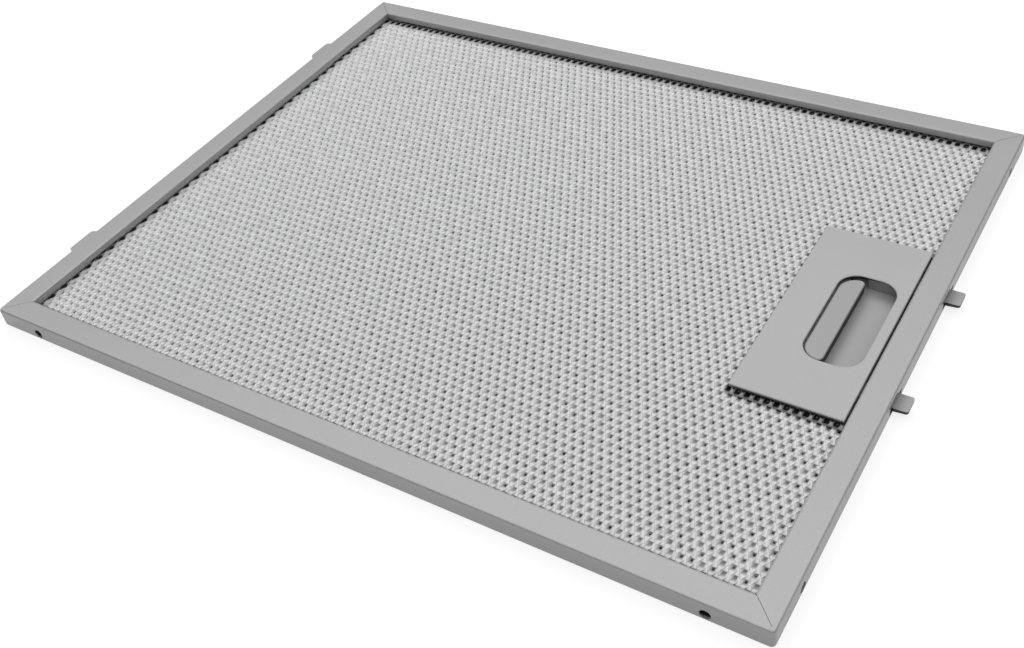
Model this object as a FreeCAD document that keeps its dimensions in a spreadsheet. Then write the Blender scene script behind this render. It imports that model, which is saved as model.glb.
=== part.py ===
import FreeCAD, Part
import math
import os
import re
import Sketcher

# Grease filter of a cooker hood: a flat cassette of expanded metal in a roll-formed sheet frame,
# with two fixed lugs on one short edge and a sprung finger latch on the other.
# X runs along the long edges, towards the latch. Y runs across. Z points out of the front face.
# The origin is the middle of the frame on its back plane, and every length is in millimetres.

doc = FreeCAD.newDocument("grease_filter")

# Driving sizes, one cell each
SIZES = {
    "frame_length": (320, "outside of the frame along X"),
    "frame_width": (260, "outside of the frame along Y"),
    "frame_height": (8, "back plane to front rim"),
    "sheet": (0.6, "thickness of the frame strip"),
    "fold_radius": (1.0, "outside radius of the long folds"),
    "rim_width": (10, "outer wall to the visible face of the return lip"),
    "lip_depth": (3, "front rim to the free edge of the return lip"),
    "lip_gap": (0.8, "free edge of the return lip to the front sheet"),
    "corner_radius": (1.6, "outer wall where the strip is folded round a corner"),
    "mitre_gap": (0.1, "slit between two rims at a corner"),
    "drain_diameter": (3.8, "drain hole in the outer wall"),
    "drain_inset": (21, "corner to the middle of a drain hole"),
    "drain_height": (3, "back plane to the middle of a drain hole"),
    "mesh_edge_gap": (0.5, "edge of the mesh sheets to the inside of the outer wall"),
    "front_mesh_depth": (1.0, "front sheet over its raised strands"),
    "back_mesh_depth": (0.8, "back sheet over its raised strands"),
    "strand_taper": (55, "slope of a strand's sides in degrees"),
    "gap_pitch": (26, "outer sheets, spacing of the gaps across their short way"),
    "gap_row_pitch": (50, "outer sheets, spacing of the gaps along their long way"),
    "gap_width": (8, "outer sheets, a gap across its short way"),
    "gap_length": (18, "outer sheets, a gap along its long way"),
    "layer_pitch": (39, "inner layers, spacing of the gaps across their short way"),
    "layer_row_pitch": (75, "inner layers, spacing of the gaps along their long way"),
    "layer_gap_width": (30, "inner layers, a gap across its short way"),
    "layer_gap_length": (57, "inner layers, a gap along its long way"),
    "plate_width": (40, "handle plate along X"),
    "plate_length": (92.4, "handle plate along Y"),
    "plate_depth": (0.8, "thickness of the handle plate"),
    "plate_drop": (1.6, "front rim to the face of the handle plate"),
    "plate_gap": (1, "handle plate to the return lip"),
    "plate_edge": (0.25, "bevel of the plate's front edges"),
    "slot_width": (21.1, "finger slot along X"),
    "slot_length": (46.9, "finger slot along Y"),
    "slot_inset": (3.9, "finger slot to the plate's edge at the rail"),
    "slot_radius": (7.5, "corners of the finger slot"),
    "tray_margin": (2, "plate edge to the outside of the tray's walls"),
    "tray_wall": (1.2, "tray's outer walls"),
    "tray_floor": (1.2, "back plane to the floor of the finger recess"),
    "recess_wall": (0.6, "walls at the two ends of the finger recess"),
    "tray_gap": (0.4, "tray's walls to the cut-out in the mesh sheets"),
    "foot_gap": (0.7, "tray's foot to the inside of the outer wall"),
    "hook_width": (6, "snap leg of the plate along X"),
    "hook_depth": (1.2, "snap leg of the plate along Y"),
    "hook_catch": (0.6, "how far a snap leg reaches under the tray's wall"),
    "hook_inset": (9, "tray's outer corner to the middle of a snap leg"),
    "hook_gap": (0.2, "room round a snap leg in the tray"),
    "slide_gap": (0.3, "running clearance of the slide over the floor and under the plate and lip"),
    "arm_gap": (0.4, "running clearance beside the slide's arms"),
    "slide_depth": (2.3, "thickness of the slide's arms"),
    "arm_width": (7.4, "tongue and arm along Y"),
    "shoulder": (2.4, "widening of an arm inside the tray, which stops the slide"),
    "tongue_reach": (5.2, "outer wall to the tip of a tongue"),
    "tongue_root": (1.5, "thickness of a tongue at the outer wall"),
    "tongue_tip": (1.0, "thickness left at the tip of a tongue"),
    "tongue_edge": (0.9, "rounding of a tongue's corners"),
    "web_slot_room": (2.0, "room beside a tongue in the outer wall"),
    "web_slot_rise": (0.8, "room above a tongue in the outer wall"),
    "grip_gap": (0.5, "finger slot's left edge to the grip bar"),
    "grip_width": (8, "grip bar along X"),
    "grip_length": (44.6, "grip bar along Y"),
    "grip_round": (6.5, "grip bar's corners in the corners of the slot"),
    "grip_radius": (2, "grip bar's corners at the finger recess"),
    "grip_edge": (0.3, "bevel of the grip bar's front edges"),
    "yoke_lap": (2, "how far the cross bar reaches into the grip bar"),
    "travel": (7, "pull of the slide"),
    "travel_spare": (0.5, "slide to the tray's wall when pulled right back"),
    "spring_diameter": (2.6, "outside of a spring"),
    "spring_wire": (0.4, "spring wire over its corners, drawn with six sides"),
    "spring_turns": (7, "turns of a spring"),
    "spring_room": (0.4, "room round a spring in its slot"),
    "spring_slot": (10, "depth of a spring's slot in the slide"),
    "post_diameter": (1.3, "post that centres a spring"),
    "post_length": (2, "length of that post"),
    "lug_spacing": (163, "middle of one fixed lug to the other"),
    "lug_root": (17, "fixed lug along Y at the outer wall"),
    "lug_tip": (12.5, "fixed lug along Y at its outer edge"),
    "lug_reach": (5.2, "outer wall to the edge of a fixed lug"),
    "lug_depth": (0.8, "thickness of a fixed lug"),
    "lug_height": (4.4, "back plane to the underside of a fixed lug"),
    "lug_leg": (2.2, "fixed lug's underside to the top of its leg"),
    "lug_room": (0.2, "room round a fixed lug in the outer wall"),
    "lug_edge": (1.2, "corners of a fixed lug"),
}
INNER_LAYERS = 3
SAME_PLACE = 1e-4

sizes = doc.addObject("Spreadsheet::Sheet", "sizes")
for row, (alias, (amount, note)) in enumerate(SIZES.items(), start=1):
    sizes.set(f"A{row}", note)
    sizes.set(f"B{row}", str(amount))
    sizes.setAlias(f"B{row}", alias)
doc.recompute()

# Places worked out from the driving sizes
HALF_LENGTH = "(frame_length / 2)"
HALF_WIDTH = "(frame_width / 2)"
WALL_X = f"({HALF_LENGTH} - sheet)"
WALL_Y = f"({HALF_WIDTH} - sheet)"
LIP_X = f"({HALF_LENGTH} - rim_width)"
LIP_Y = f"({HALF_WIDTH} - rim_width)"
LIP_BACK_X = f"({LIP_X} + sheet)"
LIP_BACK_Y = f"({LIP_Y} + sheet)"
LIP_EDGE_Z = "(frame_height - lip_depth)"
MESH_TOP = f"({LIP_EDGE_Z} - lip_gap)"
MESH_X = f"({WALL_X} - mesh_edge_gap)"
MESH_Y = f"({WALL_Y} - mesh_edge_gap)"
PLATE_RIGHT = f"({LIP_X} - plate_gap)"
PLATE_LEFT = f"({PLATE_RIGHT} - plate_width)"
PLATE_TOP = "(frame_height - plate_drop)"
PLATE_UNDER = f"({PLATE_TOP} - plate_depth)"
SLOT_RIGHT = f"({PLATE_RIGHT} - slot_inset)"
SLOT_LEFT = f"({SLOT_RIGHT} - slot_width)"
TRAY_LEFT = f"({PLATE_LEFT} + tray_margin)"
TRAY_Y = "(plate_length / 2 - tray_margin)"
TRAY_INSIDE_LEFT = f"({TRAY_LEFT} + tray_wall)"
TRAY_INSIDE_Y = f"({TRAY_Y} - tray_wall)"
TRAY_INSIDE_RIGHT = f"({PLATE_RIGHT} - tray_wall)"
FOOT_RIGHT = f"({WALL_X} - foot_gap)"
RECESS_OUT_Y = "(slot_length / 2 + recess_wall)"
ARM_IN_Y = f"({RECESS_OUT_Y} + arm_gap)"
ARM_OUT_Y = f"({ARM_IN_Y} + arm_width)"
ARM_MIDDLE_Y = f"({ARM_IN_Y} + arm_width / 2)"
SLIDE_UNDER = "(tray_floor + slide_gap)"
ARM_TOP = f"({SLIDE_UNDER} + slide_depth)"
GRIP_TOP = f"({PLATE_UNDER} - slide_gap)"
YOKE_LEFT = f"({TRAY_INSIDE_LEFT} + travel_spare + travel)"
GRIP_LEFT = f"({SLOT_LEFT} + grip_gap)"
GRIP_RIGHT = f"({GRIP_LEFT} + grip_width)"
YOKE_RIGHT = f"({GRIP_LEFT} + yoke_lap)"
RECESS_LEFT = f"({GRIP_RIGHT} + arm_gap)"
SHOULDER_X = f"({TRAY_INSIDE_RIGHT} - slide_gap)"
TONGUE_TIP_X = f"({HALF_LENGTH} + tongue_reach)"
SPRING_Z = f"({SLIDE_UNDER} + slide_depth / 2)"
SPRING_RIGHT = f"({YOKE_LEFT} + spring_slot)"
HOOK_OUT_Y = f"({TRAY_INSIDE_Y} - hook_gap)"
HOOK_LEFT_X = f"({TRAY_LEFT} + hook_inset)"
HOOK_RIGHT_X = f"({PLATE_RIGHT} - hook_inset)"
LAYER_DEPTH = f"(({MESH_TOP} - sheet - front_mesh_depth - back_mesh_depth) / {INNER_LAYERS})"


def bound(expression):
    """The expression with each alias pointed at its cell."""
    return re.sub(r"\b(?!(?:floor|sqrt)\b)[a-z][a-z_]*", r"sizes.\g<0>", expression)


def number(expression):
    """The present value of an expression."""
    return float(sizes.evalExpression(bound(expression)))


def new_body(label):
    """An empty body whose label names the sub-part."""
    body = doc.addObject("PartDesign::Body", label)
    body.Label = label
    return body


def new_sketch(body, name, role="XY_Plane", offset="0"):
    """A sketch on one of the body's own planes, moved along that plane's normal."""
    plane = next(feature for feature in body.Origin.OriginFeatures if feature.Role == role)
    sketch = body.newObject("Sketcher::SketchObject", name)
    sketch.AttachmentSupport = [(plane, "")]
    sketch.MapMode = "FlatFace"
    sketch.setExpression("AttachmentOffset.Base.z", bound(offset))
    return sketch


def place(sketch, geometry, point, across, up):
    """Ties one point of a sketch to its two coordinates."""
    for kind, expression in (("DistanceX", across), ("DistanceY", up)):
        index = sketch.addConstraint(Sketcher.Constraint(kind, geometry, point, number(expression)))
        sketch.setExpression(f"Constraints[{index}]", bound(expression))


def draw_outline(sketch, corners):
    """A closed outline of straight sides, with every corner tied to its coordinates."""
    spots = [FreeCAD.Vector(number(across), number(up), 0) for across, up in corners]
    first = sketch.GeometryCount
    count = len(spots)
    for here, following in zip(spots, spots[1:] + spots[:1]):
        sketch.addGeometry(Part.LineSegment(here, following), False)
    for side in range(count):
        following = (side + 1) % count
        sketch.addConstraint(Sketcher.Constraint("Coincident", first + side, 2, first + following, 1))
    for side, (across, up) in enumerate(corners):
        place(sketch, first + side, 1, across, up)


def draw_rectangle(sketch, left, right, low, high):
    """A rectangle from its four edges."""
    draw_outline(sketch, [(left, low), (right, low), (right, high), (left, high)])


def draw_rounded_rectangle(sketch, half_x, half_y, radius):
    """A rectangle about the middle with round corners, each arc held by its radius and two ends."""
    near_x, near_y = f"({half_x} - {radius})", f"({half_y} - {radius})"
    sides = [((f"-{near_x}", f"-{half_y}"), (near_x, f"-{half_y}")),
             ((half_x, f"-{near_y}"), (half_x, near_y)),
             ((near_x, half_y), (f"-{near_x}", half_y)),
             ((f"-{half_x}", near_y), (f"-{half_x}", f"-{near_y}"))]
    centres = [(near_x, f"-{near_y}"), (near_x, near_y),
               (f"-{near_x}", near_y), (f"-{near_x}", f"-{near_y}")]
    first = sketch.GeometryCount
    for start, end in sides:
        spots = [FreeCAD.Vector(number(x), number(y), 0) for x, y in (start, end)]
        sketch.addGeometry(Part.LineSegment(*spots), False)
    quarter = math.pi / 2
    for turn, (x, y) in enumerate(centres):
        centre = FreeCAD.Vector(number(x), number(y), 0)
        circle = Part.Circle(centre, FreeCAD.Vector(0, 0, 1), number(radius))
        sketch.addGeometry(Part.ArcOfCircle(circle, (turn - 1) * quarter, turn * quarter), False)
    for turn, (start, end) in enumerate(sides):
        line, arc = first + turn, first + len(sides) + turn
        place(sketch, line, 1, *start)
        place(sketch, line, 2, *end)
        following = first + (turn + 1) % len(sides)
        sketch.addConstraint(Sketcher.Constraint("Coincident", line, 2, arc, 1))
        sketch.addConstraint(Sketcher.Constraint("Coincident", arc, 2, following, 1))
        index = sketch.addConstraint(Sketcher.Constraint("Radius", arc, number(radius)))
        sketch.setExpression(f"Constraints[{index}]", bound(radius))


def draw_circle(sketch, across, up, diameter):
    """A circle from its centre and diameter."""
    centre = FreeCAD.Vector(number(across), number(up), 0)
    circle = Part.Circle(centre, FreeCAD.Vector(0, 0, 1), number(diameter) / 2)
    geometry = sketch.addGeometry(circle, False)
    place(sketch, geometry, 3, across, up)
    index = sketch.addConstraint(Sketcher.Constraint("Diameter", geometry, number(diameter)))
    sketch.setExpression(f"Constraints[{index}]", bound(diameter))


def pad(body, name, sketch, depth, reverse=False):
    """Raises a sketch along its plane's normal, or the other way."""
    feature = body.newObject("PartDesign::Pad", name)
    feature.Profile = sketch
    feature.setExpression("Length", bound(depth))
    feature.Reversed = reverse
    doc.recompute()


def pocket(body, name, sketch, depth, upwards=True, taper=None, both_ways=False):
    """Cuts a sketch out of the body, and makes sure that the cut took something away."""
    before = body.Shape.Volume
    feature = body.newObject("PartDesign::Pocket", name)
    feature.Profile = sketch
    feature.setExpression("Length", bound(depth))
    feature.Reversed = upwards
    feature.Midplane = both_ways
    if taper:
        feature.setExpression("TaperAngle", bound(taper))
    doc.recompute()
    if body.Shape.Volume >= before:
        raise RuntimeError(f"{name} cuts nothing")
    return feature


def dress_edges(body, name, kind, amount_property, amount, wanted):
    """Puts one kind of dressing on the edges of the body that the test picks out."""
    base = body.Tip
    chosen = [f"Edge{i}" for i, edge in enumerate(base.Shape.Edges, start=1) if wanted(edge)]
    feature = body.newObject(kind, name)
    feature.Base = (base, chosen)
    feature.setExpression(amount_property, bound(amount))
    doc.recompute()


def round_edges(body, name, radius, wanted):
    """Rounds the chosen edges."""
    dress_edges(body, name, "PartDesign::Fillet", "Radius", radius, wanted)


def bevel_edges(body, name, size, wanted):
    """Breaks the chosen edges with a bevel."""
    dress_edges(body, name, "PartDesign::Chamfer", "Size", size, wanted)


def near(first, second):
    """True for two coordinates that are the same place."""
    return abs(first - second) < SAME_PLACE


def upright(edge):
    """True for an edge that runs along Z."""
    box = edge.BoundBox
    return box.ZLength > SAME_PLACE and near(box.XLength, 0) and near(box.YLength, 0)


def level_at(edge, height):
    """True for an edge that lies flat at a height."""
    box = edge.BoundBox
    return near(box.ZMin, height) and near(box.ZMax, height)


def reach(edge):
    """How far an edge gets from the middle along X."""
    return max(abs(edge.BoundBox.XMin), abs(edge.BoundBox.XMax))


# Frame: one strip, rolled to a channel with a return lip and folded round the mesh
def make_frame():
    body = new_body("frame")
    outline = new_sketch(body, "frame_outline")
    draw_rounded_rectangle(outline, HALF_LENGTH, HALF_WIDTH, "corner_radius")
    pad(body, "frame_block", outline, "frame_height")
    top = number("frame_height")
    round_edges(body, "outer_folds", "fold_radius", lambda e: level_at(e, 0) or level_at(e, top))
    opening = new_sketch(body, "opening_outline")
    draw_rectangle(opening, f"-{LIP_X}", LIP_X, f"-{LIP_Y}", LIP_Y)
    pocket(body, "opening", opening, "frame_height")
    lip_back = number(LIP_BACK_X)
    round_edges(body, "lip_fold", "fold_radius", lambda e: level_at(e, top) and reach(e) < lip_back)

    mouth = new_sketch(body, "mouth_outline", offset="sheet")
    draw_rectangle(mouth, f"-{LIP_BACK_X}", LIP_BACK_X, f"-{LIP_BACK_Y}", LIP_BACK_Y)
    pocket(body, "mesh_mouth", mouth, f"{LIP_EDGE_Z} - sheet")
    channel = new_sketch(body, "channel_outline", offset="sheet")
    draw_rounded_rectangle(channel, WALL_X, WALL_Y, "(corner_radius - sheet)")
    draw_rectangle(channel, f"-{LIP_BACK_X}", LIP_BACK_X, f"-{LIP_BACK_Y}", LIP_BACK_Y)
    pocket(body, "channel", channel, "frame_height - 2 * sheet")

    mitres = new_sketch(body, "mitre_outlines")
    half = "mitre_gap / 2"
    run = "(rim_width - corner_radius)"
    for side_x in ("", "-"):
        for side_y in ("", "-"):
            corners = [(f"{LIP_X} - mitre_gap - {half}", f"{LIP_Y} - mitre_gap + {half}"),
                       (f"{LIP_X} - mitre_gap + {half}", f"{LIP_Y} - mitre_gap - {half}"),
                       (f"{LIP_X} + {run} + {half}", f"{LIP_Y} + {run} - {half}"),
                       (f"{LIP_X} + {run} - {half}", f"{LIP_Y} + {run} + {half}")]
            draw_outline(mitres, [(f"{side_x}({x})", f"{side_y}({y})") for x, y in corners])
    pocket(body, "mitres", mitres, "frame_height")

    walls = (("XZ_Plane", HALF_LENGTH, "frame_width"), ("YZ_Plane", HALF_WIDTH, "frame_length"))
    for role, corner, across in walls:
        drains = new_sketch(body, f"drains_{role}", role)
        for side in ("", "-"):
            draw_circle(drains, f"{side}({corner} - drain_inset)", "drain_height", "drain_diameter")
        pocket(body, f"drain_holes_{role}", drains, across, both_ways=True)

    tongues = new_sketch(body, "tongue_slots", "YZ_Plane", LIP_X)
    lugs = new_sketch(body, "lug_slots", "YZ_Plane", f"-{LIP_X}")
    for side in ("", "-"):
        draw_rectangle(tongues, f"{side}({ARM_IN_Y} - web_slot_room)", f"{side}({ARM_OUT_Y} + web_slot_room)",
                       f"{SLIDE_UNDER} - slide_gap", f"{ARM_TOP} + web_slot_rise")
        draw_rectangle(lugs, f"{side}(lug_spacing / 2 - lug_root / 2 - lug_room)",
                       f"{side}(lug_spacing / 2 + lug_root / 2 + lug_room)",
                       "lug_height - lug_room", "lug_height + lug_depth + lug_room")
    pocket(body, "tongue_openings", tongues, "rim_width")
    pocket(body, "lug_openings", lugs, "rim_width", upwards=False)


# Mesh sheets: expanded metal, diamond gaps in staggered rows between raised strands
def make_mesh(label, floor, depth, pitch, row_pitch, gap, turned, taper):
    body = new_body(label)
    outline = new_sketch(body, f"{label}_outline", offset=floor)
    draw_rectangle(outline, f"-{MESH_X}", MESH_X, f"-{MESH_Y}", MESH_Y)
    pad(body, f"{label}_sheet", outline, depth)
    round_edges(body, f"{label}_corners", "corner_radius", upright)

    width, length = gap
    points = [(f"{width} / 2", "0"), ("0", f"{length} / 2"), (f"-{width} / 2", "0"), ("0", f"-{length} / 2")]
    room_across = f"({LIP_Y if turned else LIP_X} - {width} / 2)"
    room_along = f"({LIP_X if turned else LIP_Y} - {length} / 2)"
    for lattice, shift, more in (("rows", "0", 1), ("between", "1 / 2", 0)):
        columns = f"(2 * floor({room_across} / {pitch} + {shift}) + {more})"
        rows = f"(2 * floor({room_along} / {row_pitch} + {shift}) + {more})"
        start = f"(({columns} - 1) / 2 * {pitch})"
        start_row = f"(({rows} - 1) / 2 * {row_pitch})"
        corners = [(f"{x} - {start}", f"{y} - {start_row}") for x, y in points]
        if turned:
            corners = [(y, x) for x, y in corners]
        hole = new_sketch(body, f"{label}_{lattice}_gap", offset=f"{floor} + {depth}")
        draw_outline(hole, corners)
        first = pocket(body, f"{label}_{lattice}_first", hole, depth, upwards=False, taper=taper)
        pattern = body.newObject("PartDesign::LinearPattern", f"{label}_{lattice}")
        pattern.Originals = [first]
        across, along = ("V_Axis", "H_Axis") if turned else ("H_Axis", "V_Axis")
        pattern.Direction = (hole, [across])
        pattern.Direction2 = (hole, [along])
        pattern.Mode = "Extent"
        pattern.Mode2 = "Extent"
        pattern.setExpression("Length", bound(f"({columns} - 1) * {pitch}"))
        pattern.setExpression("Length2", bound(f"({rows} - 1) * {row_pitch}"))
        pattern.setExpression("Occurrences", bound(columns))
        pattern.setExpression("Occurrences2", bound(rows))
        body.Tip = pattern
        doc.recompute()

    cut = new_sketch(body, f"{label}_cut_out", offset=floor)
    cut_y = f"({TRAY_Y} + tray_gap)"
    draw_rectangle(cut, f"{TRAY_LEFT} - tray_gap", HALF_LENGTH, f"-{cut_y}", cut_y)
    pocket(body, f"{label}_latch_cut", cut, depth)


# Handle plate: covers the latch, with the finger slot and four snap legs
def make_plate():
    body = new_body("handle_plate")
    outline = new_sketch(body, "plate_outline", offset=PLATE_UNDER)
    draw_rectangle(outline, PLATE_LEFT, PLATE_RIGHT, "-plate_length / 2", "plate_length / 2")
    pad(body, "plate_sheet", outline, "plate_depth")
    slot = new_sketch(body, "slot_outline", offset=PLATE_UNDER)
    draw_rectangle(slot, SLOT_LEFT, SLOT_RIGHT, "-slot_length / 2", "slot_length / 2")
    pocket(body, "finger_slot", slot, "plate_depth")
    half_slot = number("slot_length / 2")
    round_edges(body, "slot_corners", "slot_radius",
                lambda e: upright(e) and near(abs(e.BoundBox.YMin), half_slot))
    face = number(PLATE_TOP)
    bevel_edges(body, "plate_edges", "plate_edge", lambda e: level_at(e, face))

    legs = new_sketch(body, "leg_outlines", offset=PLATE_UNDER)
    catches = new_sketch(body, "catch_outlines")
    for middle in (HOOK_LEFT_X, HOOK_RIGHT_X):
        left, right = f"{middle} - hook_width / 2", f"{middle} + hook_width / 2"
        for side in ("", "-"):
            inner = f"{side}({HOOK_OUT_Y} - hook_depth)"
            draw_rectangle(legs, left, right, inner, f"{side}{HOOK_OUT_Y}")
            draw_rectangle(catches, left, right, inner, f"{side}({HOOK_OUT_Y} + hook_catch)")
    pad(body, "snap_legs", legs, PLATE_UNDER, reverse=True)
    pad(body, "snap_catches", catches, "sheet - hook_gap / 2")


# Latch tray: closes the latch from the back, with the finger recess and the slide's guides
def make_tray():
    body = new_body("latch_tray")
    base = new_sketch(body, "base_outline")
    draw_rectangle(base, PLATE_LEFT, PLATE_RIGHT, "-plate_length / 2", "plate_length / 2")
    pad(body, "base_flange", base, "sheet")
    floor = new_sketch(body, "floor_outline", offset="sheet")
    draw_rectangle(floor, TRAY_LEFT, FOOT_RIGHT, f"-{TRAY_Y}", TRAY_Y)
    pad(body, "floor", floor, "tray_floor - sheet")

    walls = new_sketch(body, "wall_outlines", offset="tray_floor")
    draw_rectangle(walls, TRAY_LEFT, PLATE_RIGHT, f"-{TRAY_Y}", TRAY_Y)
    draw_rectangle(walls, TRAY_INSIDE_LEFT, TRAY_INSIDE_RIGHT, f"-{TRAY_INSIDE_Y}", TRAY_INSIDE_Y)
    pad(body, "walls", walls, f"{PLATE_UNDER} - tray_floor")
    ends = new_sketch(body, "recess_ends", offset="tray_floor")
    for side in ("", "-"):
        draw_rectangle(ends, RECESS_LEFT, TRAY_INSIDE_RIGHT, f"{side}(slot_length / 2)",
                       f"{side}{RECESS_OUT_Y}")
    pad(body, "recess_end_walls", ends, f"{PLATE_UNDER} - tray_floor")
    guard = new_sketch(body, "recess_side", offset="tray_floor")
    draw_rectangle(guard, SLOT_RIGHT, TRAY_INSIDE_RIGHT, "-slot_length / 2", "slot_length / 2")
    pad(body, "recess_side_wall", guard, f"{PLATE_UNDER} - tray_floor")

    gates = new_sketch(body, "arm_gates", offset="tray_floor")
    leg_holes = new_sketch(body, "leg_holes")
    catch_rooms = new_sketch(body, "catch_rooms")
    for side in ("", "-"):
        draw_rectangle(gates, f"{TRAY_INSIDE_RIGHT} - slide_gap", f"{PLATE_RIGHT} + slide_gap",
                       f"{side}{RECESS_OUT_Y}", f"{side}({ARM_OUT_Y} + arm_gap)")
        for middle in (HOOK_LEFT_X, HOOK_RIGHT_X):
            left = f"{middle} - hook_width / 2 - hook_gap"
            right = f"{middle} + hook_width / 2 + hook_gap"
            inner = f"{side}({HOOK_OUT_Y} - hook_depth - hook_gap)"
            draw_rectangle(leg_holes, left, right, inner, f"{side}{TRAY_INSIDE_Y}")
            draw_rectangle(catch_rooms, left, right, inner,
                           f"{side}({HOOK_OUT_Y} + hook_catch + hook_gap)")
    pocket(body, "gates", gates, f"{ARM_TOP} + slide_gap - tray_floor")
    pocket(body, "snap_leg_holes", leg_holes, "tray_floor")
    pocket(body, "snap_catch_rooms", catch_rooms, "sheet")

    posts = new_sketch(body, "post_outlines", "YZ_Plane", TRAY_INSIDE_LEFT)
    for side in ("", "-"):
        draw_circle(posts, f"{side}{ARM_MIDDLE_Y}", SPRING_Z, "post_diameter")
    pad(body, "spring_posts", posts, "post_length")


# Latch slide: cross bar, grip bar and two arms that end in wedge-shaped tongues
def make_slide():
    body = new_body("latch_slide")
    grip = new_sketch(body, "grip_outline", offset=SLIDE_UNDER)
    draw_rectangle(grip, GRIP_LEFT, GRIP_RIGHT, "-grip_length / 2", "grip_length / 2")
    pad(body, "grip_bar", grip, f"{GRIP_TOP} - {SLIDE_UNDER}")
    for name, radius, place_x in (("slot_side_corners", "grip_round", number(GRIP_LEFT)),
                                  ("recess_side_corners", "grip_radius", number(GRIP_RIGHT))):
        round_edges(body, name, radius, lambda e: upright(e) and near(e.BoundBox.XMin, place_x))
    grip_top = number(GRIP_TOP)
    bevel_edges(body, "grip_edges", "grip_edge", lambda e: level_at(e, grip_top))

    wide = f"({ARM_OUT_Y} + shoulder)"
    yoke = new_sketch(body, "yoke_outline", offset=SLIDE_UNDER)
    draw_rectangle(yoke, YOKE_LEFT, YOKE_RIGHT, f"-{wide}", wide)
    pad(body, "yoke", yoke, "slide_depth")
    arms = new_sketch(body, "arm_outlines", offset=SLIDE_UNDER)
    for side in ("", "-"):
        draw_outline(arms, [(YOKE_RIGHT, f"{side}{ARM_IN_Y}"), (TONGUE_TIP_X, f"{side}{ARM_IN_Y}"),
                            (TONGUE_TIP_X, f"{side}{ARM_OUT_Y}"), (SHOULDER_X, f"{side}{ARM_OUT_Y}"),
                            (SHOULDER_X, f"{side}{wide}"), (YOKE_RIGHT, f"{side}{wide}")])
    pad(body, "arms", arms, "slide_depth")
    tip = number(TONGUE_TIP_X)
    round_edges(body, "tongue_corners", "tongue_edge",
                lambda e: upright(e) and near(e.BoundBox.XMin, tip))

    wedges = new_sketch(body, "wedge_outline", "XZ_Plane")
    draw_outline(wedges, [(HALF_LENGTH, SLIDE_UNDER), (HALF_LENGTH, f"{ARM_TOP} - tongue_root"),
                          (TONGUE_TIP_X, f"{ARM_TOP} - tongue_tip"), (TONGUE_TIP_X, SLIDE_UNDER)])
    pocket(body, "tongue_wedges", wedges, "frame_width", both_ways=True)

    slots = new_sketch(body, "spring_slots", offset=SLIDE_UNDER)
    half = "(spring_diameter / 2 + spring_room)"
    for side in ("", "-"):
        draw_rectangle(slots, YOKE_LEFT, SPRING_RIGHT, f"{side}({ARM_MIDDLE_Y} - {half})",
                       f"{side}({ARM_MIDDLE_Y} + {half})")
    pocket(body, "spring_seats", slots, "slide_depth")


# Springs: one compression spring in each arm of the slide, against the tray's wall
def make_spring(label, side):
    body = new_body(label)
    start = new_sketch(body, f"{label}_wire", "XZ_Plane", f"-({side}{ARM_MIDDLE_Y})")
    across = f"{TRAY_INSIDE_LEFT} + spring_wire / 2"
    up = f"{SPRING_Z} + spring_diameter / 2 - spring_wire / 2"
    flat, height = "spring_wire / 4", "spring_wire * sqrt(3) / 4"
    draw_outline(start, [(f"{across} + 2 * {flat}", up), (f"{across} + {flat}", f"{up} + {height}"),
                         (f"{across} - {flat}", f"{up} + {height}"), (f"{across} - 2 * {flat}", up),
                         (f"{across} - {flat}", f"{up} - {height}"),
                         (f"{across} + {flat}", f"{up} - {height}")])
    axis = new_sketch(body, f"{label}_axis", "XZ_Plane", f"-({side}{ARM_MIDDLE_Y})")
    seats = [FreeCAD.Vector(number(end), number(SPRING_Z), 0) for end in (TRAY_INSIDE_LEFT, SPRING_RIGHT)]
    line = axis.addGeometry(Part.LineSegment(*seats), False)
    place(axis, line, 1, TRAY_INSIDE_LEFT, SPRING_Z)
    place(axis, line, 2, SPRING_RIGHT, SPRING_Z)
    doc.recompute()
    coil = body.newObject("PartDesign::AdditiveHelix", f"{label}_coil")
    coil.Profile = start
    coil.ReferenceAxis = (axis, ["Edge1"])
    coil.Mode = "height-turns-angle"
    coil.setExpression("Height", bound(f"{SPRING_RIGHT} - {TRAY_INSIDE_LEFT} - spring_wire"))
    coil.setExpression("Turns", bound("spring_turns"))
    doc.recompute()


# Fixed lugs: sheet angles inside the rail, whose flat leg comes out through the outer wall
def make_lug(label, side):
    body = new_body(label)
    blade = new_sketch(body, f"{label}_blade", offset="lug_height")
    middle = f"{side}(lug_spacing / 2)"
    root, tip = "lug_root / 2", "lug_tip / 2"
    inner, outer = f"-({WALL_X} - lug_depth)", f"-({HALF_LENGTH} + lug_reach)"
    draw_outline(blade, [(inner, f"{middle} - {root}"), (f"-{HALF_LENGTH}", f"{middle} - {root}"),
                         (outer, f"{middle} - {tip}"), (outer, f"{middle} + {tip}"),
                         (f"-{HALF_LENGTH}", f"{middle} + {root}"), (inner, f"{middle} + {root}")])
    pad(body, f"{label}_flat", blade, "lug_depth")
    end = number(outer)
    round_edges(body, f"{label}_corners", "lug_edge",
                lambda e: upright(e) and near(e.BoundBox.XMin, end))
    leg = new_sketch(body, f"{label}_leg", offset="lug_height")
    draw_rectangle(leg, f"-{WALL_X}", inner, f"{middle} - {root}", f"{middle} + {root}")
    pad(body, f"{label}_upright", leg, "lug_leg")


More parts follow.
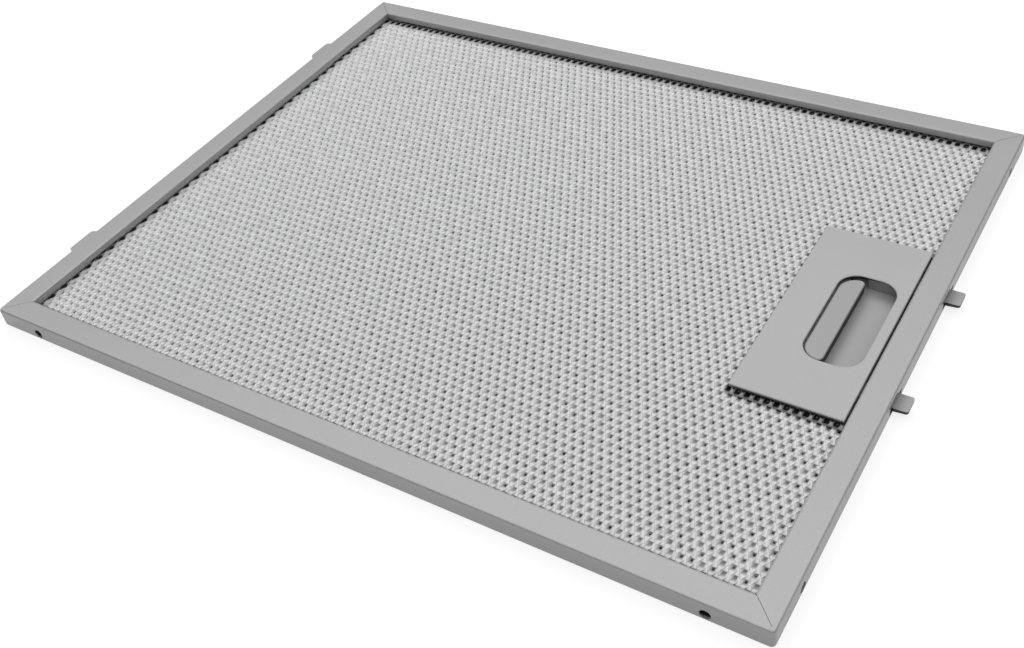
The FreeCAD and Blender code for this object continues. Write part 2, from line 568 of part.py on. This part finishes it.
make_frame()
OUTER_GAP = ("gap_width", "gap_length")
LAYER_GAP = ("layer_gap_width", "layer_gap_length")
make_mesh("back_mesh", "sheet", "back_mesh_depth",
          "gap_pitch", "gap_row_pitch", OUTER_GAP, False, "strand_taper")
for layer in range(INNER_LAYERS):
    layer_floor = f"(sheet + back_mesh_depth + {layer} * {LAYER_DEPTH})"
    make_mesh(f"inner_mesh_{layer + 1}", layer_floor, LAYER_DEPTH,
              "layer_pitch", "layer_row_pitch", LAYER_GAP, layer % 2 == 0, None)
make_mesh("front_mesh", f"({MESH_TOP} - front_mesh_depth)", "front_mesh_depth",
          "gap_pitch", "gap_row_pitch", OUTER_GAP, False, "-strand_taper")
make_tray()
make_plate()
make_slide()
for name, side in (("near", "-"), ("far", "")):
    make_spring(f"{name}_spring", side)
    make_lug(f"{name}_lug", side)
doc.recompute()

# Every object has to be sound before anything is written
faults = [item.Name for item in doc.Objects if {"Invalid", "Error"} & set(item.State)]
bodies = [item for item in doc.Objects if item.TypeId == "PartDesign::Body"]
faults += [body.Label for body in bodies if body.Shape.isNull() or not body.Shape.isValid()]
if faults:
    raise RuntimeError(f"not sound: {faults}")
os.makedirs("parts", exist_ok=True)
for body in bodies:
    body.Shape.exportStep(f"parts/{body.Label}.step")
    print(body.Label, len(body.Shape.Solids), round(body.Shape.Volume, 2))
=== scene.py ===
import math

import bmesh
import bpy
from mathutils import Matrix, Vector


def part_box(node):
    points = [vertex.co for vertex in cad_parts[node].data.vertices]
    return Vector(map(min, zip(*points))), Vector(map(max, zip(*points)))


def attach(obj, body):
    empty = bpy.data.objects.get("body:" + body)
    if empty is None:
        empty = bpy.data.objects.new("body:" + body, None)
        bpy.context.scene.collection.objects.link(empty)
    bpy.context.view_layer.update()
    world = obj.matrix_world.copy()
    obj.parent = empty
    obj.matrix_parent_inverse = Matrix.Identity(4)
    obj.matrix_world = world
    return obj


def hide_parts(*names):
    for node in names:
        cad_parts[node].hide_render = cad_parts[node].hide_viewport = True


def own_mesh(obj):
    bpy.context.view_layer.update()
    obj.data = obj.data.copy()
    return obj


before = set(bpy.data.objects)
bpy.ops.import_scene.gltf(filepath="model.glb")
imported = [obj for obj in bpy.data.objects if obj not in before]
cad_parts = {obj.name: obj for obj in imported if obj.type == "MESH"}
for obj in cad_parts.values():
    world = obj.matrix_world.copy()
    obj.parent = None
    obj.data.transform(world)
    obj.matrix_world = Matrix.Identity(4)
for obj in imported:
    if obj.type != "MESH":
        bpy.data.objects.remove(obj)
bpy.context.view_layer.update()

# Folded frame: one strip of thin sheet, rolled to a channel with a return lip, notched at the corners and
# folded round the mesh until its two ends meet. It is coated in a satin grey, with a fine orange peel.

MM = 0.001


def add_node(tree, kind, sources=None, **settings):
    """A node with its settings, whose sockets are joined to a source or hold a plain value."""
    made = tree.nodes.new(kind)
    for key, value in settings.items():
        setattr(made, key, value)
    for key, source in (sources or {}).items():
        socket = made.inputs[key]
        if isinstance(source, bpy.types.NodeSocket):
            tree.links.new(source, socket)
        else:
            socket.default_value = source
    return made


def worked_out(tree, operation, first, second=0.0, clamp=False):
    """One sum on one or two numbers."""
    return add_node(tree, "ShaderNodeMath", {0: first, 1: second}, operation=operation,
                    use_clamp=clamp).outputs[0]


def mapped(tree, value, limits, interpolation="LINEAR"):
    """A number taken from one range to another, and held within it."""
    return add_node(tree, "ShaderNodeMapRange", {"Value": value, **limits},
                    interpolation_type=interpolation).outputs["Result"]


def wavering(tree, amount, grey, low_share, high_share):
    """A grey that wavers between two shares of itself."""
    ramp = add_node(tree, "ShaderNodeValToRGB", {"Fac": amount})
    for stop, position, share in zip(ramp.color_ramp.elements, (0.3, 0.7), (low_share, high_share)):
        stop.position = position
        stop.color = (grey * share, grey * share, grey * share, 1)
    return ramp.outputs["Color"]


def drawn_to(tree, amount, colour, grey):
    """A colour drawn towards a plain grey, by an amount from 0 to 1."""
    return add_node(tree, "ShaderNodeMix", {"Factor": amount, "A": colour, "B": (grey, grey, grey, 1)},
                    data_type="RGBA").outputs["Result"]


def coated_sheet(name, grey, metallic, grain, roughness, side_shade_share, painted_shade_where=None):
    """Silver-grey satin finish: faint clouds, fine grain, an uneven gloss, and painted shade on upright
    sides.
    """
    material = bpy.data.materials.new(name)
    material.use_nodes = True
    tree = material.node_tree
    shader = tree.nodes["Principled BSDF"]
    shader.inputs["Metallic"].default_value = metallic
    place = add_node(tree, "ShaderNodeTexCoord").outputs["Object"]
    clouds = add_node(tree, "ShaderNodeTexNoise",
                      {"Vector": place, "Scale": 14.0, "Detail": 3.0}).outputs["Fac"]
    speckle = add_node(tree, "ShaderNodeTexNoise",
                       {"Vector": place, "Scale": grain, "Detail": 2.0}).outputs["Fac"]
    uneven = add_node(tree, "ShaderNodeMix", {"Factor": 0.4, "A": clouds, "B": speckle},
                      data_type="FLOAT").outputs["Result"]
    colour = wavering(tree, uneven, grey, low_share=0.96, high_share=1.04)

    # Upright sides get painted shade: their grey is drawn down to a share of itself.
    facing = add_node(tree, "ShaderNodeNewGeometry").outputs["True Normal"]
    normal = add_node(tree, "ShaderNodeSeparateXYZ", {0: facing}).outputs
    upright_shade = mapped(tree, worked_out(tree, "ABSOLUTE", normal["Z"]), {"From Min": 0.7, "From Max": 0.2})
    colour = drawn_to(tree, upright_shade, colour, grey * side_shade_share)
    # Upright faces in the chosen places get painted shade, nearly black.
    if painted_shade_where:
        painted_shade_black = 0.03
        share = worked_out(tree, "MULTIPLY", painted_shade_where(tree, place, normal), upright_shade)
        colour = drawn_to(tree, share, colour, painted_shade_black)
    tree.links.new(colour, shader.inputs["Base Color"])

    gloss_spread = 0.05
    gloss = mapped(tree, clouds, {"From Min": 0.3, "From Max": 0.7,
                                  "To Min": roughness - gloss_spread, "To Max": roughness + gloss_spread})
    tree.links.new(gloss, shader.inputs["Roughness"])
    peel = add_node(tree, "ShaderNodeBump", {"Strength": 0.06, "Distance": 0.2 * MM, "Height": speckle})
    tree.links.new(peel.outputs["Normal"], shader.inputs["Normal"])
    return material


def finish_nodes(material, *names):
    """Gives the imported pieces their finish."""
    for name in names:
        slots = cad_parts[name].data.materials
        slots.clear()
        slots.append(material)


# The rim's upright walls get painted shade.
rim_coat = coated_sheet("rim_coat", grey=0.58, metallic=0.45, grain=900.0, roughness=0.38, side_shade_share=0.67)
finish_nodes(rim_coat, "frame")

# Fixed lugs: two stamped tabs of the same coated sheet, welded inside the rail opposite the latch,
# whose flat legs come out through slots in the outer wall and hook into the hood.

finish_nodes(rim_coat, "near_lug", "far_lug")

# Mesh sheets: bare aluminium, slit and stretched to small teardrop gaps between broad strands. A fine sheet
# closes the front and the back, with three coarser layers loose between them. The folded frame holds
# them all, and they are cut out round the latch.


def sheet_tree():
    """Expanded metal: one diamond cell, set out in two staggered rows and cut to the sheet's outline."""
    tree = bpy.data.node_groups.new("expanded_sheet", "GeometryNodeTree")
    amounts = ("Half Length", "Half Width", "Open Length", "Open Width", "Cut Left", "Cut Margin",
               "Cut Half Width", "Floor", "Depth", "Turn", "Pitch X", "Pitch Y", "Mouth X", "Mouth Y",
               "Mouth Shift", "Mouth Sag", "Gap X", "Gap Y", "Gap Shift", "Unevenness", "Seed")
    inputs = {}
    for label in amounts + ("Metal",):
        kind = "NodeSocketFloat" if label in amounts else "NodeSocketMaterial"
        inputs[label] = tree.interface.new_socket(label, in_out="INPUT", socket_type=kind).identifier
    tree.interface.new_socket("Geometry", in_out="OUTPUT", socket_type="NodeSocketGeometry")
    size = tree.nodes.new("NodeGroupInput").outputs

    def node(kind, sources=None, **settings):
        return add_node(tree, kind, sources, **settings)

    def math_node(operation, first, second=0.0):
        return worked_out(tree, operation, first, second)

    def either(first, second):
        return node("FunctionNodeBooleanMath", {0: first, 1: second}, operation="OR").outputs[0]

    def both(first, second):
        return node("FunctionNodeBooleanMath", {0: first, 1: second}, operation="AND").outputs[0]

    def above(first, second):
        return node("FunctionNodeCompare", {"A": first, "B": second}, operation="GREATER_THAN").outputs[0]

    def vector(x, y, z):
        return node("ShaderNodeCombineXYZ", {0: x, 1: y, 2: z}).outputs[0]

    def switch(test, no, yes):
        return node("GeometryNodeSwitch", {"Switch": test, "False": no, "True": yes},
                    input_type="FLOAT").outputs[0]

    def joined(*parts):
        together = node("GeometryNodeJoinGeometry")
        for part in parts:
            tree.links.new(part, together.inputs[0])
        return together.outputs[0]

    def filled(*curves):
        return node("GeometryNodeFillCurve", {"Curve": joined(*curves)}, mode="TRIANGLES").outputs[0]

    def moved(shape, offset):
        return node("GeometryNodeSetPosition", {"Geometry": shape, "Offset": offset}).outputs[0]

    def placed(shape, position):
        return node("GeometryNodeSetPosition", {"Geometry": shape, "Position": position}).outputs[0]

    def marked(shape, label, value):
        return node("GeometryNodeStoreNamedAttribute", {"Geometry": shape, "Name": label, "Value": value},
                    data_type="FLOAT", domain="POINT").outputs[0]

    def welded(shape):
        seam = 0.03 * MM
        return node("GeometryNodeMergeByDistance", {"Geometry": shape, "Distance": seam}).outputs[0]

    spot = node("GeometryNodeInputPosition").outputs[0]
    x, y, z = node("ShaderNodeSeparateXYZ", {0: spot}).outputs
    size_x, size_y = math_node("ABSOLUTE", x), math_node("ABSOLUTE", y)

    # One cell: a diamond from joint to joint, whose teardrop mouth narrows to the gap at the underside
    narrowing = 0.8
    half_pitch_x, half_pitch_y = (math_node("MULTIPLY", size[pitch], 0.5) for pitch in ("Pitch X", "Pitch Y"))
    diamond = node("GeometryNodeCurvePrimitiveQuadrilateral",
                   {"Width": size["Pitch X"], "Bottom Height": half_pitch_y, "Top Height": half_pitch_y},
                   mode="KITE").outputs[0]
    pentagon = node("GeometryNodeCurvePrimitiveCircle", {"Resolution": 5, "Radius": 0.5}).outputs[0]
    across = math_node("MULTIPLY", y, math_node("SUBTRACT", 1.0, math_node("MULTIPLY", x, narrowing)))
    rings = {}
    for ring in ("Mouth", "Gap"):
        ring_x = math_node("MULTIPLY", across, size[f"{ring} X"])
        ring_y = math_node("SUBTRACT", size[f"{ring} Shift"], math_node("MULTIPLY", x, size[f"{ring} Y"]))
        rings[ring] = placed(pentagon, vector(ring_x, ring_y, 0.0))

    # Points on the diamond's edge and on the gap's are told apart by where they lie
    on_diamond, past_gap = 0.999, 0.26
    on_strand = above(math_node("ADD", math_node("DIVIDE", size_x, half_pitch_x),
                                math_node("DIVIDE", size_y, half_pitch_y)), on_diamond)
    back = math_node("DIVIDE", math_node("SUBTRACT", size["Gap Shift"], y), size["Gap Y"])
    side = math_node("DIVIDE", math_node("DIVIDE", x, size["Gap X"]),
                     math_node("SUBTRACT", 1.0, math_node("MULTIPLY", back, narrowing)))
    squared = math_node("ADD", math_node("MULTIPLY", back, back), math_node("MULTIPLY", side, side))
    off_gap = above(squared, past_gap)

    # Each surface gets its height, and how far down it lies from 0 at the strands to 1 at the underside
    top = math_node("MULTIPLY", size["Depth"], 0.5)
    under = math_node("MULTIPLY", size["Depth"], -0.5)
    mouth = math_node("SUBTRACT", top, size["Mouth Sag"])
    at_mouth = 0.3
    strands = filled(diamond, rings["Mouth"])
    funnel = filled(rings["Mouth"], rings["Gap"])
    underside = node("GeometryNodeFlipFaces", {"Mesh": filled(diamond, rings["Gap"])}).outputs[0]
    surfaces = ((strands, switch(on_strand, mouth, top), switch(on_strand, at_mouth, 0.0)),
                (funnel, switch(off_gap, under, mouth), switch(off_gap, 1.0, at_mouth)),
                (underside, under, 1.0))
    faces = [moved(marked(flat, "sunk", sunk), vector(0.0, 0.0, rise)) for flat, rise, sunk in surfaces]
    cell = node("GeometryNodeTransform", {"Geometry": joined(*faces),
                                          "Rotation": vector(0.0, size["Turn"], 0.0)}).outputs[0]

    # Two staggered sets of cells over the sheet, without those in the cut-out
    grids = []
    for more in (1.0, 2.0):
        grid = {}
        for axis, half_size in (("X", "Half Length"), ("Y", "Half Width")):
            pitch = size[f"Pitch {axis}"]
            pairs = math_node("FLOOR", math_node("DIVIDE", size[half_size], pitch))
            count = math_node("ADD", math_node("MULTIPLY", pairs, 2.0), more)
            grid[f"Vertices {axis}"] = count
            grid[f"Size {axis}"] = math_node("MULTIPLY", math_node("SUBTRACT", count, 1.0), pitch)
        grids.append(node("GeometryNodeMeshGrid", grid).outputs[0])
    outside = either(above(size_x, size["Half Length"]), above(size_y, size["Half Width"]))
    in_cut = both(above(x, size["Cut Left"]), above(size["Cut Half Width"], size_y))
    kept = node("GeometryNodeDeleteGeometry",
                {"Geometry": joined(*grids), "Selection": either(outside, in_cut)}, domain="POINT").outputs[0]
    cells = node("GeometryNodeInstanceOnPoints", {"Points": kept, "Instance": cell}).outputs[0]
    sheet = welded(node("GeometryNodeRealizeInstances", {"Geometry": cells}).outputs[0])

    # Stretching is never quite even
    noise = node("ShaderNodeTexNoise", {"Vector": spot, "W": size["Seed"], "Scale": 330.0, "Detail": 1.0},
                 noise_dimensions="4D")
    centred = node("ShaderNodeVectorMath", {0: noise.outputs["Color"], 1: (0.5, 0.5, 0.5)},
                   operation="SUBTRACT").outputs[0]
    pull = node("ShaderNodeVectorMath", {0: centred, 1: vector(size["Unevenness"], size["Unevenness"], 0.0)},
                operation="MULTIPLY").outputs[0]
    sheet = moved(sheet, pull)

    # The sheet's edges are sheared straight, and the two sides meet along them
    low_x, low_y = (math_node("MULTIPLY", size[half], -1.0) for half in ("Half Length", "Half Width"))
    held_x = math_node("MAXIMUM", math_node("MINIMUM", x, size["Half Length"]), low_x)
    held_y = math_node("MAXIMUM", math_node("MINIMUM", y, size["Half Width"]), low_y)
    past_x = math_node("SUBTRACT", held_x, size["Cut Left"])
    past_y = math_node("SUBTRACT", size["Cut Half Width"], math_node("ABSOLUTE", held_y))
    inside = both(above(past_x, 0.0), above(past_y, 0.0))
    by_x = both(inside, above(past_y, past_x))
    by_y = both(inside, above(past_x, past_y))
    cut_y = math_node("MULTIPLY", size["Cut Half Width"], math_node("SIGN", held_y))
    edge = node("GeometryNodeInputMeshEdgeNeighbors").outputs[0]
    open_edge = node("FunctionNodeCompare", {2: edge, 3: 1}, data_type="INT", operation="EQUAL").outputs[0]
    trimmed = vector(switch(by_x, held_x, size["Cut Left"]), switch(by_y, held_y, cut_y),
                     switch(open_edge, z, 0.0))
    sheet = welded(placed(sheet, trimmed))
    middle = math_node("ADD", size["Floor"], top)
    sheet = moved(sheet, vector(0.0, 0.0, middle))

    # A mask for painted shadow on the gaps close to the lip and to the plate, weakest at the sheet's two ends
    shade, less_at_ends = 3.0 * MM, 2.5 * MM
    by_lip_x = math_node("SUBTRACT", size_x, math_node("ADD", size["Open Length"], less_at_ends))
    by_lip_y = math_node("SUBTRACT", size_y, size["Open Width"])
    by_plate_y = math_node("SUBTRACT", size["Cut Half Width"], size_y)
    by_plate = math_node("MINIMUM", math_node("SUBTRACT", x, size["Cut Left"]),
                         math_node("ADD", by_plate_y, size["Cut Margin"]))
    nearest = math_node("MAXIMUM", by_plate, math_node("MAXIMUM", by_lip_x, by_lip_y))
    sheet = marked(sheet, "shaded", math_node("ADD", math_node("DIVIDE", nearest, shade), 1.0))
    sheet = node("GeometryNodeSetMaterial", {"Geometry": sheet, "Material": size["Metal"]}).outputs[0]
    tree.links.new(sheet, tree.nodes.new("NodeGroupOutput").inputs[0])
    return tree, inputs


def bare_metal(name, grey, metallic, roughness):
    """Metal that was drawn cold: dull and bright patches, finer than a strand, and painted shade down in the
    gaps.
    """
    material = bpy.data.materials.new(name)
    material.use_nodes = True
    tree = material.node_tree
    shader = tree.nodes["Principled BSDF"]
    shader.inputs["Metallic"].default_value = metallic
    place = add_node(tree, "ShaderNodeTexCoord").outputs["Object"]
    patches = add_node(tree, "ShaderNodeTexNoise",
                       {"Vector": place, "Scale": 260.0, "Detail": 3.0}).outputs["Fac"]
    sunk, shaded = (add_node(tree, "ShaderNodeAttribute", attribute_name=label).outputs["Fac"]
                    for label in ("sunk", "shaded"))

    # Painted shade in the gaps, which grows towards the sheet's near right-hand corner
    gap_shade_share, to_corner = 0.42, (0.6, -0.8, 0.0)
    across = add_node(tree, "ShaderNodeVectorMath", {0: place, 1: to_corner},
                      operation="DOT_PRODUCT").outputs["Value"]
    corner_shade = mapped(tree, across, {"From Min": -0.18, "From Max": 0.18, "To Max": 1.18})
    patchy = wavering(tree, patches, grey, low_share=0.9, high_share=1.06)
    colour = drawn_to(tree, worked_out(tree, "MULTIPLY", sunk, corner_shade), patchy, grey * gap_shade_share)

    # Beside the lip and the plate a painted shadow makes them black
    lip_shadow_share, edge_gain, depth_gain = 0.02, 3.0, 2.5
    in_lip_shadow = worked_out(tree, "MULTIPLY", shaded, edge_gain, clamp=True)
    below = worked_out(tree, "MULTIPLY", sunk, depth_gain, clamp=True)
    colour = drawn_to(tree, worked_out(tree, "MULTIPLY", in_lip_shadow, below), colour, grey * lip_shadow_share)
    tree.links.new(colour, shader.inputs["Base Color"])
    gloss_spread = 0.12
    gloss = mapped(tree, patches, {"To Min": roughness - gloss_spread, "To Max": roughness + gloss_spread})
    tree.links.new(gloss, shader.inputs["Roughness"])
    return material


mesh_metal = bare_metal("mesh_metal", grey=0.94, metallic=0.2, roughness=0.5)
# The inner layers are the same aluminium in a darker grey, as painted shade inside the filter.
shaded_inner_metal = bare_metal("shaded_inner_metal", grey=0.38, metallic=0.3, roughness=0.55)
stretched, stretched_inputs = sheet_tree()
plate_low, plate_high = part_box("handle_plate")
tray_margin = 1.6 * MM
rim_width = 10.0 * MM
rim_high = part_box("frame")[1]


def expanded_sheet(name, node, metal, turn, seed, lengths):
    """One sheet of expanded metal in the place of its plain solid."""
    low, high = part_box(node)
    piece = bpy.data.objects.new(name, bpy.data.meshes.new(name))
    bpy.context.scene.collection.objects.link(piece)
    maker = piece.modifiers.new("expanded", "NODES")
    maker.node_group = stretched
    amounts = {"Half Length": high[0], "Half Width": high[1],
               "Open Length": rim_high[0] - rim_width, "Open Width": rim_high[1] - rim_width,
               "Cut Left": plate_low[0] + tray_margin, "Cut Half Width": plate_high[1] - tray_margin,
               "Cut Margin": tray_margin, "Floor": low[2], "Depth": high[2] - low[2],
               "Turn": turn, "Seed": seed, "Metal": metal}
    amounts.update({label: length * MM for label, length in lengths.items()})
    for label, amount in amounts.items():
        maker[stretched_inputs[label]] = amount
    view = bpy.context.evaluated_depsgraph_get()
    mesh = bpy.data.meshes.new_from_object(piece.evaluated_get(view))
    piece.modifiers.remove(maker)
    piece.data = mesh
    mesh.name = name
    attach(piece, "cassette")
    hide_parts(node)


fine = {"Pitch X": 3.413, "Pitch Y": 6.605, "Mouth X": 2.2, "Mouth Y": 4.4, "Mouth Shift": -0.35,
        "Mouth Sag": 0.42, "Gap X": 0.85, "Gap Y": 1.15, "Gap Shift": 0.75, "Unevenness": 0.6}
long_way = {"Pitch X": 9.0, "Pitch Y": 5.0, "Mouth X": 5.4, "Mouth Y": 2.8, "Mouth Shift": 0.0,
            "Mouth Sag": 0.1, "Gap X": 4.4, "Gap Y": 2.2, "Gap Shift": 0.1, "Unevenness": 0.8}
short_way = {"Pitch X": 5.0, "Pitch Y": 9.0, "Mouth X": 2.8, "Mouth Y": 5.4, "Mouth Shift": 0.0,
             "Mouth Sag": 0.1, "Gap X": 2.2, "Gap Y": 4.4, "Gap Shift": 0.1, "Unevenness": 0.8}
expanded_sheet("front_sheet", "front_mesh", mesh_metal, turn=0.0, seed=1.0, lengths=fine)
expanded_sheet("back_sheet", "back_mesh", mesh_metal, turn=math.pi, seed=2.0, lengths=fine)
expanded_sheet("upper_layer", "inner_mesh_3", shaded_inner_metal, turn=0.0, seed=3.0, lengths=long_way)
expanded_sheet("middle_layer", "inner_mesh_2", shaded_inner_metal, turn=0.0, seed=4.0, lengths=short_way)
expanded_sheet("lower_layer", "inner_mesh_1", shaded_inner_metal, turn=0.0, seed=5.0, lengths=long_way)

# Latch: a moulded tray from the back, a slide with a grip bar and two tongues in it, and a cover plate with
# the finger slot that snaps on from the front. All three are grey plastic with a fine matt grain. The sides
# of the bar and the tongues, and the slot's far corner by the end of the bar, carry painted shade, nearly
# black.


def slot_corner_shade(tree, place, normal):
    """Painted shade: dark by the far end of the bar, and lighter along the slot's end wall."""
    corner = (127.0 * MM, 22.5 * MM, 7.5 * MM)
    distance = add_node(tree, "ShaderNodeVectorMath", {0: place, 1: corner},
                        operation="DISTANCE").outputs["Value"]
    return mapped(tree, distance, {"From Min": 12.0 * MM, "From Max": 6.0 * MM}, "SMOOTHSTEP")


def bar_and_tongue_shade(tree, place, normal):
    """Painted shade: dark on the bar's long sides, and on every side of the tongues from the rail's lip
    outwards.
    """
    lip = 150.0 * MM
    spot = add_node(tree, "ShaderNodeSeparateXYZ", {0: place}).outputs
    return worked_out(tree, "MAXIMUM", worked_out(tree, "ABSOLUTE", normal["X"]),
                      worked_out(tree, "GREATER_THAN", spot["X"], lip))


moulded = {"metallic": 0.3, "grain": 1500.0}
# The tray and the slide take a darker copy of the plate's grey, as painted shade down in the recess.
plate_grey = coated_sheet("plate_grey", grey=0.58, roughness=0.5, side_shade_share=0.38,
                          painted_shade_where=slot_corner_shade, **moulded)
tray_grey = coated_sheet("tray_grey", grey=0.46, roughness=0.55, side_shade_share=0.8, **moulded)
slide_grey = coated_sheet("slide_grey", grey=0.48, roughness=0.5, side_shade_share=0.6,
                          painted_shade_where=bar_and_tongue_shade, **moulded)
finish_nodes(plate_grey, "handle_plate")
finish_nodes(tray_grey, "latch_tray")
finish_nodes(slide_grey, "latch_slide")

# Springs: coils of drawn steel wire, one in each arm of the slide. Their inner ends stand on posts of the
# tray, and the slide presses the coils together when it is pulled.

spring_steel = bare_metal("spring_steel", grey=0.5, metallic=0.9, roughness=0.35)
for node, name in (("near_spring", "near_coil"), ("far_spring", "far_coil")):
    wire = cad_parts[node].data.copy()
    wire.name = name
    loose = bmesh.new()
    loose.from_mesh(wire)
    bmesh.ops.remove_doubles(loose, verts=loose.verts, dist=0.001 * MM)
    loose.to_mesh(wire)
    loose.free()
    wire.shade_smooth()
    wire.materials.clear()
    wire.materials.append(spring_steel)
    coil = bpy.data.objects.new(name, wire)
    bpy.context.scene.collection.objects.link(coil)
    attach(coil, "cassette")
    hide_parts(node)
    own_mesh(coil)

# Table: the filter lies on its back on a plain white table, which keeps its soft shadow
# and throws some light back on its outer walls.

bpy.ops.mesh.primitive_plane_add(size=40.0)
table = bpy.context.object
table.name = "table"
table_white = bpy.data.materials.new("table_white")
table_white.use_nodes = True
tree = table_white.node_tree
tree.nodes.clear()
matt = add_node(tree, "ShaderNodeBsdfDiffuse", {"Color": (0.4, 0.4, 0.4, 1)})
ray = add_node(tree, "ShaderNodeLightPath").outputs
seen = worked_out(tree, "ADD", ray["Is Camera Ray"], ray["Is Glossy Ray"])
seen = worked_out(tree, "ADD", seen, ray["Is Transmission Ray"])
table_level = 0.78
glow = add_node(tree, "ShaderNodeEmission", {"Strength": worked_out(tree, "MULTIPLY", seen, table_level)})
total = add_node(tree, "ShaderNodeAddShader", {0: matt.outputs[0], 1: glow.outputs[0]})
add_node(tree, "ShaderNodeOutputMaterial", {"Surface": total.outputs[0]})
table.data.materials.append(table_white)

# Light: a broad soft light from above and straight behind the filter, in a room that is bright overhead
# and dim towards the horizon, so that the far rims are darker than the near ones.

studio = bpy.data.worlds.new("studio")
bpy.context.scene.world = studio
studio.use_nodes = True
tree = studio.node_tree
way = add_node(tree, "ShaderNodeTexCoord").outputs["Generated"]
upward = add_node(tree, "ShaderNodeSeparateXYZ", {0: way}).outputs["Z"]
level = mapped(tree, upward, {"From Min": 0.44, "From Max": 0.72, "To Min": 0.05, "To Max": 0.85},
               "SMOOTHSTEP")
backdrop = tree.nodes["Background"]
backdrop.inputs["Color"].default_value = (1, 1, 1, 1)
tree.links.new(level, backdrop.inputs["Strength"])

softbox = bpy.data.lights.new("softbox", "AREA")
softbox.shape = "SQUARE"
softbox.size = 4.0
softbox.energy = 550.0
holder = bpy.data.objects.new("softbox", softbox)
bpy.context.scene.collection.objects.link(holder)
holder.location = (-4.75, 6.25, 5.5)
holder.visible_glossy = False
holder.rotation_euler = holder.location.to_track_quat("Z", "Y").to_euler()

# Camera: from above the near right-hand corner and tipped a little to one side,
# as the photograph was taken.

lens = bpy.data.cameras.new("camera")
lens.sensor_width = 36.0
lens.lens = 43.019
lens.clip_start = 0.01
eye = bpy.data.objects.new("camera", lens)
bpy.context.scene.collection.objects.link(eye)
turn, height, roll = (math.radians(angle) for angle in (36.6486, 42.2074, -8.1748))
aim, reach = Vector((23.466 * MM, -45.827 * MM, 0)), 450.473 * MM
back = Vector((math.sin(turn) * math.cos(height), -math.cos(turn) * math.cos(height), math.sin(height)))
right = Vector((math.cos(turn), math.sin(turn), 0))
up = back.cross(right)
tipped_right = right * math.cos(roll) + up * math.sin(roll)
tipped_up = up * math.cos(roll) - right * math.sin(roll)
spot = aim + back * reach
eye.matrix_world = Matrix(((tipped_right.x, tipped_up.x, back.x, spot.x),
                           (tipped_right.y, tipped_up.y, back.y, spot.y),
                           (tipped_right.z, tipped_up.z, back.z, spot.z), (0, 0, 0, 1)))
bpy.context.scene.camera = eye
bpy.context.scene.view_settings.view_transform = "Standard"
